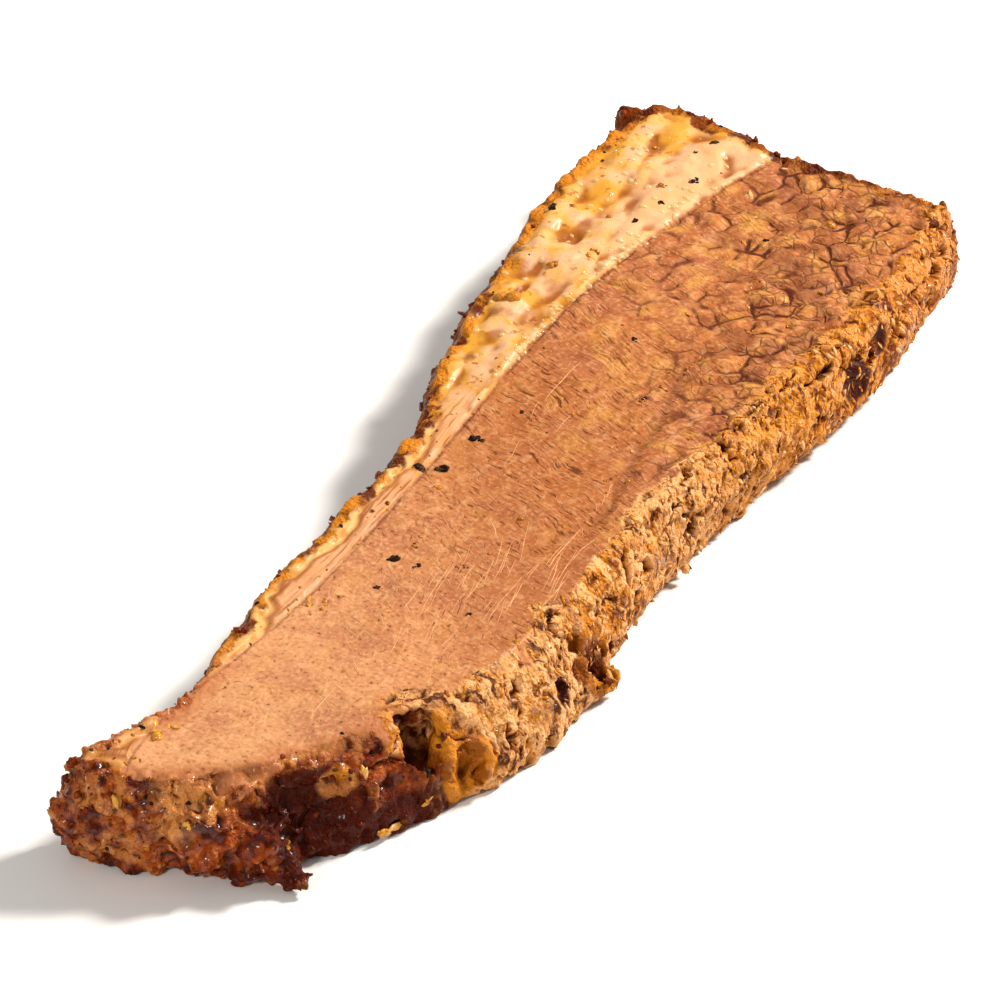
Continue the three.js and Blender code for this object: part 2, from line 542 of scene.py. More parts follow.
def surface_fields(place):
    """The slow patterns that shape and finish share."""
    x, y, z = place.parts()
    drawn = vector(x / 3.2, y, z).warped(5.0, 1.0)
    return SimpleNamespace(
        broad=place.noise(15.0),
        mottle=place.noise(4.5, 3.0),
        tone=place.noise(5.0, 4.0, 0.6),
        ragged=place.noise(2.6, 4.0, 0.6) - 0.5,
        stain=place.moved((50, 0, 0)).noise(5.0, 3.0),
        wet=place.moved((0, 0, 40)).noise(4.0, 3.0),
        breaks=place.moved((0, 60, 0)).noise(5.5, 2.0),
        pits=drawn.cells(3.4, "F1"),
    )


# ---------------------------------------------------------------- the slice


def crust_lumps(mesh, count, rng):
    """Lumps for the sides: chunks at the dark end, flakes on the bark side, crumbs by the fat."""
    lumps = []
    skin = Skin(mesh)
    for place, normal in skin.sow(count, rng, np.abs(skin.upward) < SIDE_LIMIT):
        grain = rng.random() ** 2
        if place[0] < DARK_END:
            radii = np.array((1.0, 0.8, 0.6)) * (0.5 + 1.3 * grain)
        elif normal[1] > 0.3:
            radii = np.array((1.0, 0.8, 0.5)) * (0.4 + 0.8 * grain)
        else:
            radii = np.array((0.7, 1.7, 0.3)) * (0.4 + 0.9 * grain)
        place = place - normal * 0.3 * radii[2]
        lumps.append((place, tilted(normal, 0.3, rng), radii, rng.normal(0.3, 0.9)))
    return lumps


def curled_rims(body, rng):
    """Golden lumps that touch in rings round the first cavities, and lobes beside them."""
    for spot, size, heading in CAVITIES[:3]:
        run = np.array((math.cos(math.radians(heading)), math.sin(math.radians(heading)), 0.0))
        for turn in np.arange(0, 2 * math.pi, RIM_STEP):
            at = np.array(spot) + run * (size[0] + 1.1) * math.cos(turn)
            at[2] += (size[2] + 0.9) * math.sin(turn)
            if RIM_FOOT < at[2] < RIM_TOP:
                place, normal = on_surface(body, at)
                yield place, normal, np.array((1.2, 1.2, 0.95)) * rng.uniform(0.75, 1.2), 0.0
    for spot, radii in LOBES:
        place, normal = on_surface(body, spot)
        yield place, normal, np.array(radii), math.radians(CAVITIES[0][2])


def lean_relief(place, fields):
    """The lean's height: swells, puffed bundles with cracks between them, and the crease."""
    _, y, _ = place.parts()
    coarse, fine = bundle_edges(bent_columns(place))
    shown = fields.breaks.step(0.43, 0.59, 0.15, 1.0)
    domes = coarse.step(0.0, 0.36, -0.42, 0.15) * shown * y.step(14, -12, 0.8, 1.15)
    small = fine.step(0.0, 0.4, -0.22, 0.06) * y.step(4, -14, 0.2, 1.0)
    puckers = (place.noise(3.6, 1.0) - 0.5) * 0.6
    swell = (place.noise(13.0) - 0.5) * 1.3 + (place.noise(4.5, 1.0) - 0.5) * 0.35
    return puffiness(place, fields) * (domes + small + puckers) + swell - crease(place) * 0.45


def fat_relief(place, seam, rim, fields):
    """The fat's height: soft lumps and dents where it is thick, a lip and a groove where it is narrow."""
    x, y, z = place.parts()
    thick = x.step(5, 40)
    drawn = vector(x / 2, y, z).warped(6.0, 1.5)
    lumps = (drawn.noise(4.6, 1.0) - 0.5) * 3.4 + (place.noise(2.2, 1.0) - 0.5) * 0.4
    spots = drawn.moved((0, 40, 0)).cells(5.5, "F1")
    dents = spots.step(0.3, 0.05, 0.0, -0.9) * fields.stain.step(0.47, 0.57)
    drift = rim + (fields.broad - 0.5) * 7
    lip = drift.bell(1.2, 1.9) * 0.5 - drift.bell(3.0, 0.9) * 0.5
    layers = (vector(x / 8, seam / 1.1, 2.0).noise(1.0, 1.0) - 0.5) * 0.6
    rolls = (place.noise(3.0, 1.0) - 0.5) * 0.6
    return thick * (lumps + dents) + (1 - thick) * (lip + layers + rolls)


def away_from(place, spot, size):
    """Distance from a spot, in shares of a size along each axis."""
    shares = place.moved([-part for part in spot]).combined("DIVIDE", size)
    return shares.combined("LENGTH", output="Value")


def crust_relief(place, fields):
    """The crust's height: slanted flakes on the bark side, round knobs at the dark end and by the fat."""
    x, y, z = place.parts()
    crumpled = place.warped(3.0, 1.5)
    u = crumpled.dot((0.45 / 4.6, 0.0, 0.9 / 4.6))
    v = crumpled.dot((0.9 / 1.5, 0.0, -0.45 / 1.5))
    w = crumpled.dot((0.0, 1 / 2.2, 0.0))
    flakes = (vector(u, v, w).noise(1.0, 2.0) - 0.5) * x.step(30, 60, 1.5, 1.0)
    swell = (crumpled.noise(6.5, 1.0) - 0.5) * 2.4
    ridges = abs(crumpled.moved((9, 9, 9)).noise(7.0, 1.0) - 0.5)
    slits = ridges.step(0.0, 0.05, -1.5, 0.0) * fields.breaks.step(0.42, 0.56)
    slits = slits + fields.pits.step(0.3, 0.08, 0.0, -1.8) * fields.stain.step(0.5, 0.56)
    groove = (z + fields.ragged * 3).bell(11.8, 1.6) * x.step(48, 66) * -2.2
    slits = slits + groove * fields.tone.step(0.4, 0.5) * y.step(-10, -16)
    small = (place.noise(1.9, 1.0) - 0.5) * x.step(-92, -70, 1.4, 0.6)
    knobs = (crumpled.noise(2.8, 1.0) - 0.5) * x.step(-86, -70, 2.0, 1.2)
    grains = crumpled.cells(1.9, "F1").step(0.7, 0.1, -0.35, 0.45) * x.step(-80, -88)
    grains = grains * fields.wet.step(0.4, 0.56, 0.25, 1.0)
    round_parts = largest(x.step(-76, -90), y.step(8, 18))
    scoop = away_from(place, *SCOOP).step(1.2, 0.35) * -3.4
    return swell + small + round_parts * (knobs + grains) + (1 - round_parts) * (flakes + slits) + scoop


def slice_height(graph, place, fields):
    """The height of the surface's own relief over the plain slice, in millimetres."""
    seam, rim, wall = (graph.read(name) for name in ("seam", "rim", "wall"))
    lean = seam.step(0.2, -0.8)
    inner = lean_relief(place, fields) * lean + fat_relief(place, seam, rim, fields) * (1 - lean)
    beaded = fields.breaks.step(0.46, 0.6, 0.0, 0.3)
    inner = inner + seam.bell(0.8, 0.9) * beaded - seam.bell(-0.3, 0.7) * 0.2
    face = wall.step(0.6, 0.2) * (rim + fields.ragged * 4).step(0.5, 3.0)
    return face * inner + (1 - face) * crust_relief(place, fields)


def raise_surface(piece):
    """Works out the surface's slow patterns, keeps them as attributes, and raises its relief."""
    tree = bpy.data.node_groups.new("relief", "GeometryNodeTree")
    tree.interface.new_socket("Geometry", in_out="INPUT", socket_type="NodeSocketGeometry")
    tree.interface.new_socket("Geometry", in_out="OUTPUT", socket_type="NodeSocketGeometry")
    graph = Graph(tree)
    place = graph.read("rest", "FLOAT_VECTOR")
    fields = surface_fields(place)
    shape = graph.node("NodeGroupInput")
    for name, value in vars(fields).items():
        inputs = {"Geometry": shape, "Name": name, "Value": value}
        shape = graph.node("GeometryNodeStoreNamedAttribute", {"data_type": "FLOAT"}, inputs)
    inputs = {"Geometry": shape, "Name": "bent", "Value": bent_columns(place)}
    shape = graph.node("GeometryNodeStoreNamedAttribute", {"data_type": "FLOAT_VECTOR"}, inputs)
    height = slice_height(graph, place, fields)
    normal = graph.node("GeometryNodeInputNormal")
    under = normal.dot((0, 0, -1)).step(0.3, 0.8)
    height = height * (1 - under) + graph.math("MINIMUM", height - UNDER_PRESS, 0.0) * under
    inputs = {"Geometry": shape, "Offset": normal.scaled(height * MM)}
    raised = graph.node("GeometryNodeSetPosition", inputs=inputs)
    end = tree.nodes.new("NodeGroupOutput")
    graph.feed(end.inputs[0], raised)
    modify(piece, "NODES", node_group=tree)


def keep_in_frame(mesh):
    """Flattens whatever reaches below the surface it lies on, or too far over the frame."""
    places = corners_of(mesh)
    places[:, 2] = np.clip(places[:, 2], LOW.z, HIGH.z + TOP_SLACK)
    mesh.vertices.foreach_set("co", places.ravel())
    mesh.update()


def nearest(places, spots):
    """The distance from each place to the nearest of some spots."""
    tree = kdtree.KDTree(len(spots))
    for index, spot in enumerate(spots):
        tree.insert(spot, index)
    tree.balance()
    return np.array([tree.find(place)[2] for place in places])


def describe_surface(mesh, golden):
    """Stores the place, the distances from rim, seam and curled rims, and the walls."""
    places = corners_of(mesh) / MM
    steep = np.abs(normals_of(mesh)[:, 2])
    flat = places * (1, 1, 0)
    write_attribute(mesh, "rest", places, "FLOAT_VECTOR")
    write_attribute(mesh, "seam", past_seam(places))
    write_attribute(mesh, "rim", nearest(flat, flat[steep < 0.5][::7]))
    write_attribute(mesh, "wall", np.clip((0.85 - steep) / 0.5, 0, 1))
    write_attribute(mesh, "curl", nearest(places, golden))


def thin_out(piece, budget):
    """Brings the piece under its budget of triangles, first on the face it lies on."""
    mesh = piece.data
    group = piece.vertex_groups.new(name="under")
    under = np.nonzero(normals_of(mesh)[:, 2] < -0.7)[0]
    group.add(under.tolist(), 1.0, "REPLACE")
    share = len(under) / len(mesh.vertices)
    modify(piece, "DECIMATE", ratio=1 - SPARE_UNDER * share, vertex_group="under", vertex_group_factor=1.0)
    piece.vertex_groups.clear()
    mesh.calc_loop_triangles()
    count = len(mesh.loop_triangles)
    if count > budget:
        modify(piece, "DECIMATE", ratio=budget / count)


def slice_shape(settings):
    """The slice as one closed mesh with its crust and relief."""
    rng = np.random.default_rng(settings.seed)
    piece = bpy.data.objects.new("braised_slice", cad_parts["brisket_slice"].data.copy())
    bpy.context.collection.objects.link(piece)
    only(piece)
    bpy.ops.object.mode_set(mode="EDIT")
    bpy.ops.mesh.select_all(action="SELECT")
    bpy.ops.mesh.remove_doubles(threshold=1e-6)
    bpy.ops.object.mode_set(mode="OBJECT")
    golden = list(curled_rims(piece, rng))
    lumps = joined_lumps("crust_lumps", golden + crust_lumps(piece.data, settings.lumps, rng), 0.12, rng)
    only(piece)
    lumps.select_set(True)
    bpy.ops.object.join()
    modify(piece, "REMESH", mode="VOXEL", voxel_size=settings.grain, adaptivity=0)
    modify(piece, "SMOOTH", factor=0.5, iterations=5)
    describe_surface(piece.data, [place for place, *_ in golden])
    raise_surface(piece)
    keep_in_frame(piece.data)
    for name, depth in zip(("hollow", "cavity"), hollows(piece.data, NEAR_ROUNDS, WIDE_ROUNDS)):
        write_attribute(piece.data, name, depth)
    thin_out(piece, settings.budget)
    return piece


def fibre_lines(bent, angle, length, width):
    """Fine fibres lying at an angle in degrees, from 0 to 1."""
    c, s = math.cos(math.radians(angle)), math.sin(math.radians(angle))
    along = bent.dot((c / length, s / length, 0))
    across = bent.dot((-s / width, c / width, 0))
    return vector(along, across, bent.dot((0, 0, 1 / width))).noise(1.0, 1.0)


def lean_finish(graph, place, fields, colours):
    """The cut lean: cracked and golden at the broad end, streaked in the middle, pale at the front, partly
    as painted light.
    """
    along = along_lean(place)
    puffed = puffiness(place, fields)
    _, y, _ = place.parts()
    bent = graph.read("bent", "FLOAT_VECTOR")
    grain = columns(place).noise(0.8, 2.0)
    across = fibre_lines(bent, -116, 3.4, 0.55)
    lengthwise = fibre_lines(bent, 12, 4.0, 0.6)
    blotch = bent.moved((70, 0, 0)).noise(2.6, 2.0)
    front = along.step(10, -50)
    calm = fields.tone.step(0.4, 0.56, 0.25, 1.0)

    cloud = fields.broad * 0.6 + fields.mottle * 0.4
    gold = fields.stain.step(0.5, 0.66) * along.step(-30, 50, 0.2, 0.8)
    brown = fields.mottle.step(0.48, 0.3) * along.step(-60, 80, 0.15, 0.7)
    patchy = blotch.step(0.46, 0.28) * along.step(-50, 50, 0.2, 0.6)
    light = across.step(0.58, 0.72) * calm * front.step(1, 0, 0.12, 0.35)
    light = largest(light, lengthwise.step(0.6, 0.72) * front * calm * 0.42)
    coarse, fine = bundle_edges(bent)
    patches = bent.moved((0, 0, 30)).noise(5.0, 2.0)
    by_bark = y.step(10, -10) * along.step(40, 75)
    width = fields.mottle.step(0.35, 0.6, 0.03, 0.11)
    shown = fields.breaks.step(0.45, 0.57, 0.08, 1.0) * y.step(22, -10, 0.35, 1)
    coarse_crack = (coarse / width).step(1.0, 0.25) * shown
    near_bark = y.step(2, -16, 0.15, 1) * fields.stain.step(0.42, 0.5)
    fine_crack = fine.step(0.09, 0.01, 0, 0.6) * near_bark
    cracks = largest(coarse_crack, fine_crack) * puffed
    shade = coarse.step(0.24, 0.02, 0, 0.4) * shown * puffed
    middle = along.bell(5, 85)
    hairs = across.step(0.4, 0.29) * middle * calm * 0.8
    hairs = largest(hairs, lengthwise.step(0.35, 0.25) * along.bell(-25, 60) * calm * 0.6)
    pores = grain.step(0.33, 0.25) * front * fields.mottle.step(0.45, 0.55, 0.3, 0.8)
    # Painted shade along the crease beside the bark side, with the real cracks, hairs and pores.
    dark = largest(cracks, hairs, pores, crease(place) * 0.35)
    colour = paint(
        colours.lean_back,
        # The lean lightens towards the front: partly its own paler tone, partly painted light.
        (along.step(10, -92), colours.lean_front),
        (cloud.step(0.44, 0.6, 0, 0.6), colours.lean_pink),
        (gold, colours.lean_gold),
        (brown, colours.lean_brown),
        (patchy, colours.lean_brown),
        (blotch.step(0.52, 0.7, 0, 0.34), colours.lean_light),
        (grain.step(0.53, 0.7, 0, 0.4), colours.lean_light),
        (grain.step(0.47, 0.3, 0, 0.4), colours.lean_brown),
        (light * (1 - puffed * 0.5), colours.lean_light),
        (along.bell(0, 60) * 0.26, colours.lean_brown),
        # Darker mauve patches by the bark at the broad end: partly the lean's own darker bundles, partly
        # painted shade.
        (patches.step(0.48, 0.6, 0, 0.55) * by_bark, colours.lean_mauve),
        (patches.step(0.46, 0.36, 0, 0.4) * puffed, colours.lean_gold),
        (shade, colours.lean_brown),
        (dark * 0.95, colours.crack),
    )
    lines = (across - 0.5) * calm * along.step(-40, 30, 0.1, 0.35)
    return colour, dark * -0.15 + (grain - 0.5) * 0.16 + (blotch - 0.5) * 0.3 + lines


def fat_finish(place, fields, colours):
    """The fat cap: cream with golden stains and brown dents, painted shade in its hollows, and pinkish
    layers where it is narrow.
    """
    x, _, z = place.parts()
    seam, rim, ragged = fields.seam, fields.rim, fields.ragged
    fleck = place.moved((0, 70, 0)).noise(1.5, 2.0)
    blotch = place.moved((0, 0, 20)).noise(3.2, 2.0)
    paler = (seam + ragged * 8 - rim * 0.5).step(9, 2) * x.step(45, 85)
    stained = fields.stain.step(0.48, 0.6, 0, 0.9) * (1 - paler * 0.8)
    roasted = fields.mottle.step(0.46, 0.34) * x.step(75, 50) * rim.step(10, 3, 0.4, 1)
    edge = rim + ragged * 3
    colour = paint(
        colours.fat_cream,
        (blotch.step(0.42, 0.6), colours.fat_peach),
        (paler * 0.8, colours.fat_peach),
        (stained, colours.fat_gold),
        (blotch.step(0.42, 0.32, 0, 0.7) * (1 - paler), colours.fat_gold),
        # Painted shade: the fat turns brown in the hollows that the cavity measure finds.
        (fields.cavity.step(0.0, 0.4, 0, 0.9), colours.fat_brown),
        (roasted * 0.8, colours.fat_brown),
        (fleck.step(0.6, 0.7, 0, 0.7) * (1 - paler), colours.fat_brown),
        (edge.step(4.2, 1.6, 0, 0.9), colours.fat_gold),
        (edge.step(2.2, 0.6, 0, 0.9), colours.rind_orange),
    )
    layers = vector(x / 9, seam / 0.5, z / 9).noise(1.0, 1.0)
    drift = rim + (fields.broad - 0.5) * 7 + ragged * 0.8
    lip = mix(blotch.step(0.34, 0.5), colours.lean_gold, colours.fat_cream)
    strip = paint(
        colours.lean_front,
        (layers.step(0.4, 0.62, 0, 0.7), colours.fat_peach),
        (fields.mottle.step(0.45, 0.6, 0, 0.8), colours.lean_front),
        (fields.stain.step(0.45, 0.6, 0, 0.6), colours.lean_gold),
        (layers.step(0.44, 0.32, 0, 0.7), colours.lean_brown),
        (drift.step(4.4, 2.6), lip),
        (drift.step(1.4, 0.4, 0, 0.7), colours.rind_orange),
        (drift.bell(3.9, 0.8) * x.step(10, 0) * 0.7, colours.fat_brown),
    )
    return mix(x.step(24, 6), colour, strip), (fleck - 0.5) * 0.15


def cavity_colours(place, fields, colour, colours):
    """The cavities of the bark side, brown or amber inside with painted shade down to near black, and their
    golden curled rims.
    """
    bent = place.warped(2.5, 0.6)
    brown = mix(fields.mottle.step(0.45, 0.6), colours.slit_and_shade, colours.bark_brown)
    amber = mix(fields.tone.step(0.4, 0.56, 0.4, 0.9), colours.bark_brown, colours.rind_orange)
    # Inside the cavities: partly the crust's own brown and amber, partly painted shade, near black in the
    # last three and mottled with near black in the first and third.
    insides = (brown, amber, brown, colours.slit_and_shade, colours.slit_and_shade, colours.slit_and_shade)
    cavity_shade = 0.0
    for (spot, size, _), inside in zip(CAVITIES, insides):
        within = away_from(bent, spot, size).step(1.2, 1.0)
        colour = mix(within, colour, inside)
        cavity_shade = largest(within, cavity_shade)
    gold = paint(
        colours.bark_gold,
        (fields.tone.step(0.54, 0.62), colours.bark_tan),
        (fields.tone.step(0.48, 0.4, 0, 0.8), colours.rind_orange),
        (fields.stain.step(0.46, 0.56, 0, 0.8), colours.bark_brown),
    )
    by_rim = (fields.curl + fields.ragged * 1.5).step(1.9, 1.2, 0, 0.9)
    return mix(by_rim, colour, gold), cavity_shade


def crust_finish(place, fields, colours):
    """The crust: golden-brown bark, a dark end, and an orange to black rim by the fat, with painted shade
    in its hollows, cavities and recess and painted light on its tips and tops.
    """
    x, y, z = place.parts()
    tone, ragged, hollow = fields.tone, fields.ragged, fields.hollow
    crumpled = place.warped(3.0, 1.5)
    u = crumpled.dot((0.45 / 4.2, 0.0, 0.9 / 4.2))
    v = crumpled.dot((0.9 / 1.2, 1 / 1.8, -0.45 / 1.2))
    streaks = vector(u, v, 0.0).noise(1.0, 2.0)
    mottle = streaks * 0.5 + fields.mottle * 0.5
    # Exposed tips, found by the hollow measure, are painted lighter and more golden: partly the crust's own
    # golden tips, partly painted light.
    lit_tips = hollow.step(-0.04, -0.3)
    pale = (x + ragged * 60).step(45, -30, 0.25, 1.0)
    # Painted shade: in its shallow hollows the bark turns brown or gold, with no pale tan.
    sunk_shade = hollow.step(-0.06, 0.14) * streaks.step(0.6, 0.45, 0.3, 1.0)
    pits = fields.pits.step(0.34, 0.14) * fields.stain.step(0.47, 0.53)
    gaps = largest((streaks - pale * 0.025).step(0.43, 0.35) * tone.step(0.62, 0.48), pits)
    sand = place.noise(0.6, 1.0)
    bark = paint(
        colours.bark_brown,
        (mottle.step(0.43, 0.5), colours.bark_gold),
        (x.step(40, 95, 0, 0.45), colours.end_orange),
        (mottle.step(0.5, 0.56) * pale, colours.bark_tan),
        (pale * x.step(-24, -40, 0, 0.45), colours.bark_tan),
        (x.bell(2, 24) * 0.6, colours.bark_tan),
        (lit_tips * 0.6, mix(pale, colours.bark_gold, colours.bark_tan)),
        (sunk_shade, mix(tone.step(0.46, 0.56), colours.bark_brown, colours.bark_gold)),
        (gaps * 0.9, colours.slit_and_shade),
        # Pale specks where the fine grain stands up and brown ones where it dips: partly the crust's own
        # speckle, partly painted light and shade.
        (sand.step(0.56, 0.7, 0, 0.35), colours.bark_tan),
        (sand.step(0.43, 0.3, 0, 0.5), colours.bark_brown),
    )

    # Painted shade: the scoop and the recess under the chunk take the darkest crust and lose the lighter
    # colours.
    scoop = away_from(place, *SCOOP).step(1.3, 0.9)
    recess_shade = largest(scoop, y.step(1, -3) * (z + ragged * 4).step(9, 6))
    knobs = mix(tone.step(0.44, 0.6), colours.end_red, colours.end_orange)
    # Painted light: the end's crust is painted oranger and lighter the higher it stands.
    raised = (z + y * 0.25 + ragged * 10).step(8, 17)
    roasted = streaks * 0.4 + fields.mottle * 0.6 + raised * 0.06
    bright = largest(roasted.step(0.6, 0.67), lit_tips * (tone + raised * 0.1).step(0.54, 0.64))
    ledge = (z + ragged * 6).step(15.2, 16.8) * y.step(12, 7)
    # Painted light on the chunk's top and the corner's upper parts, mixed with the crust's golden colour.
    lit_crown = (z + ragged * 8).step(9.6, 12.4) * x.step(-94, -98) * y.step(6, 9)
    lit_crown = largest(lit_crown, (y + ragged * 8).step(18, 21) * fields.broad.step(0.5, 0.56))
    # The light colours of the dark end: roasted golden patches, the ledge and the lighter flap, with
    # painted light on the tips, the chunk's top and the corner.
    bright = largest(
        bright * (1 - recess_shade * 0.85),
        ledge * tone.step(0.4, 0.5, 0.3, 1.0),
        lit_crown * tone.step(0.44, 0.54),
        y.bell(14.5, 6) * (z + ragged * 6).step(7, 10) * tone.step(0.3, 0.42),
        away_from(place.warped(3.0, 1.0), *FLAP).step(1.2, 0.9),
    )
    golden = paint(
        colours.end_gold,
        (tone.step(0.6, 0.7), colours.bark_gold),
        (streaks.step(0.52, 0.42, 0, 0.45), colours.end_red),
        ((y + ragged * 8).step(16, 22, 0, 0.4), colours.end_orange),
    )
    dark = paint(
        knobs,
        (largest(recess_shade, tone.step(0.52, 0.42)), colours.end_dark),
        (roasted.step(0.5, 0.62, 0, 0.8) * (1 - recess_shade), colours.end_orange),
        (bright, golden),
    )

    on_wall = fields.wall.step(0.3, 0.8)
    grilled = streaks * 0.5 + tone * 0.2 + fields.mottle * 0.3
    outer = paint(
        colours.rind_dark,
        (grilled.step(0.4, 0.52), colours.bark_brown),
        (grilled.step(0.5, 0.62, 0, 0.85), colours.rind_orange),
    )
    orange = paint(
        colours.rind_dark,
        (tone.step(0.4, 0.54), colours.rind_orange),
        (on_wall, outer),
    )
    broad = (x + ragged * 6).step(94, 100)
    # Painted shade: the crust darkens to near black in the hollows and wider cavities that the hollow
    # measures find.
    deep = largest(hollow.step(0.08, 0.36, 0, 0.85), fields.cavity.step(0.5, 1.6, 0, 0.9))
    colour = paint(
        bark,
        ((fields.seam + ragged * 4).step(-1.0, 2.0), orange),
        (broad * tone.step(0.6, 0.48, 0.5, 0.9), colours.bark_brown),
        (broad * fields.mottle.step(0.56, 0.46, 0, 0.85), colours.end_dark),
        ((x + ragged * 14).step(-66, -76), dark),
        (deep, colours.slit_and_shade),
    )
    height = (streaks - 0.5) * 0.4 + (sand - 0.5) * x.step(-70, -84, 0.6, 0.8)
    height = height + (grilled - 0.5) * fields.seam.step(0, 3, 0, 3.0) * on_wall
    colour, cavity_shade = cavity_colours(place, fields, colour, colours)
    return colour, height, largest(recess_shade, cavity_shade)


def meat_finish(colours):
    """The finish of the whole slice."""
    made, graph, inputs = material_graph(
        "braised_meat", Subsurface_Weight=0.1, Subsurface_Radius=(1.0, 0.4, 0.2),
        Subsurface_Scale=1.2 * MM, Coat_Roughness=0.17, Coat_IOR=1.36, Specular_IOR_Level=0.07,
    )
    place = graph.read("rest", "FLOAT_VECTOR")
    fields = SimpleNamespace(**{name: graph.read(name) for name in (*PATTERNS, *MEASURES)})
    seam, rim, wall, ragged = fields.seam, fields.rim, fields.wall, fields.ragged
    x, y, z = place.parts()

    lean, lean_height = lean_finish(graph, place, fields, colours)
    fat, fat_height = fat_finish(place, fields, colours)
    crust, crust_height, recess_shade = crust_finish(place, fields, colours)

    in_fat = (seam + ragged * 1.6).step(-0.4, 0.4)
    # The pale membrane along the seam: its beaded bright streak is partly the membrane's own colour, partly
    # a painted highlight.
    bright = fields.breaks.step(0.42, 0.58, 0, 0.75) * x.step(0, 20) * x.step(82, 68)
    # A dark line in the groove on the lean side of the seam: partly the seam's own dark line, partly
    # painted shade.
    under_seam = (seam + ragged * 0.8).bell(-0.5, 0.5) * fields.tone.step(0.4, 0.55, 0.1, 0.5)
    toasted = rim.step(5, 1.5, 0, 0.45) * x.step(-60, -80)
    width = largest(
        y.step(4, -8, 1.4, 3.2) * x.step(-76, -60, 0.6, 1),
        seam.step(0, 3, 0, 2.2) * x.step(104, 96),
        x.step(92, 100, 0, 2.6),
    )
    reach = rim + ragged * 7 - width
    low = z.step(14.8, 13.8) * z.step(0.5, 1.5)
    crusted = largest(wall.step(0.25, 0.6), reach.step(0.6, -0.6), low)
    colour = paint(
        lean,
        (in_fat, fat),
        ((seam + ragged * 0.8).bell(0.7, 0.6) * bright, colours.membrane_and_highlight),
        (under_seam, colours.crack),
        (toasted, colours.end_orange),
        (crusted, crust),
    )
    graph.feed(inputs["Base Color"], colour)

    height = lean_height * (1 - in_fat) + fat_height * in_fat
    height = height * (1 - crusted) + crust_height * crusted
    graph.feed(inputs["Normal"], graph.bump(height))

    greasy = in_fat * x.step(0, 30, 0.03, 0.11) * fields.wet.step(0.4, 0.56, 0.2, 1.0)
    glaze = largest(fields.wet.step(0.5, 0.7, 0.0, 0.06), greasy)
    glints = place.moved((0, 0, 90)).noise(1.6, 1.0).step(0.44, 0.54)
    sheen = fields.wet.step(0.36, 0.5) * fields.hollow.step(0.2, 0.0) * glints
    sheen = sheen * (1 - recess_shade * 0.8) * wall.step(0.35, 0.8, 0.05, 1.0)
    sheen = crusted * sheen * z.step(1, 5, 0.2, 1.0) * seam.step(2, 0, 0.1, 1)
    juicy = crusted * (x + ragged * 8).step(-74, -84) * z.step(0.5, 2) * (1 - recess_shade * 0.75)
    graph.feed(inputs["Coat Weight"], largest(glaze, sheen * 0.4, juicy * glints))
    damp = largest(in_fat * (1 - crusted) * x.step(0, 30, 0.3, 0.5), sheen)
    soft = fields.wet.step(0.35, 0.65, 0.55, 0.42)
    graph.feed(inputs["Roughness"], largest(soft - damp * 0.36, 0.13))
    return made


# ---------------------------------------------------------------- crumbs, flakes and fibres


def crumb_finish(name, low, middle, high, roughness, coat, grain):
    """A finish for small grainy bits, each with its own tone from the low colour to the high one."""
    made, graph, inputs = material_graph(
        name, roughness, Coat_Weight=coat, Coat_Roughness=0.1, Coat_IOR=1.4, Specular_IOR_Level=0.06,
    )
    place = graph.node("ShaderNodeTexCoord", output="Object").scaled(1 / MM)
    tone = (graph.read("tone") - 0.5) * 0.5 + place.noise(3.0, 3.0) + (place.noise(grain) - 0.5)
    colour = mix(tone.step(0.2, 0.5), low, middle)
    graph.feed(inputs["Base Color"], mix(tone.step(0.5, 0.8), colour, high))
    graph.feed(inputs["Normal"], graph.bump((place.noise(grain, 3.0) - 0.5) * grain * 0.6))
    return made


def finish_piece(piece, material, smooth=True):
    """Gives a small piece its finish and its body, and keeps it in the frame."""
    keep_in_frame(piece.data)
    piece.data.materials.append(material)
    only(piece)
    if smooth:
        bpy.ops.object.shade_smooth()
    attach(piece, "root")


def add_bits(context, turn, build, name, tones, surface, smooth=True):
    """Adds a piece of small bits, which run through three of the colours and share a surface."""
    settings, body, rng = ready(context, turn)
    low, middle, high = (getattr(settings.colours, tone) for tone in tones)
    made = crumb_finish(name, low, middle, high, *surface)
    finish_piece(build(body, settings.crumbs, rng), made, smooth)
    return {"FINISHED"}


def on_surface(body, spot):
    """The place on the body nearest to a spot, and its normal, in millimetres."""
    found, place, normal, _ = body.closest_point_on_mesh(Vector(spot) * MM)
    if not found:
        raise ValueError(f"The slice has no surface near {spot}")
    return np.array(place) / MM, np.array(normal)


def over(x, y):
    """A spot over the cut face."""
    return (x, y, TOP)


def golden_flakes(body, counts, rng):
    """Thin shreds of crust on the bark side and its rim, mostly lying along slanted lines."""
    skin = Skin(body.data)
    x, y, z = skin.places.T
    bark = ramp(y, 4, -4) * ramp(x, -66, -56) * ramp(x, 101, 96)
    wall = ramp(-skin.normals[:, 1], 0.2, 0.6) + 0.5 * ramp(skin.normals[:, 0], 0.3, 0.7)
    band = (skin.upward > 0.4) * ramp(skin.read("rim") + 5 * skin.read("ragged"), 4.0, 0.5)
    weight = bark * np.maximum(wall, band) * (z > 1.0) * ramp(skin.read("cavity"), 0.6, 0.1)
    lumps = []
    for place, normal in skin.sow(counts.flakes, rng, weight):
        length = 0.4 + 0.9 * rng.random() ** 2
        radii = np.array((length * 0.4, length, length * 0.14))
        lumps.append((place, tilted(normal, 0.2, rng), radii, rng.normal(-0.45, 0.5)))
    return joined_lumps("golden_flakes", lumps, 0.2, rng, rounds=1)


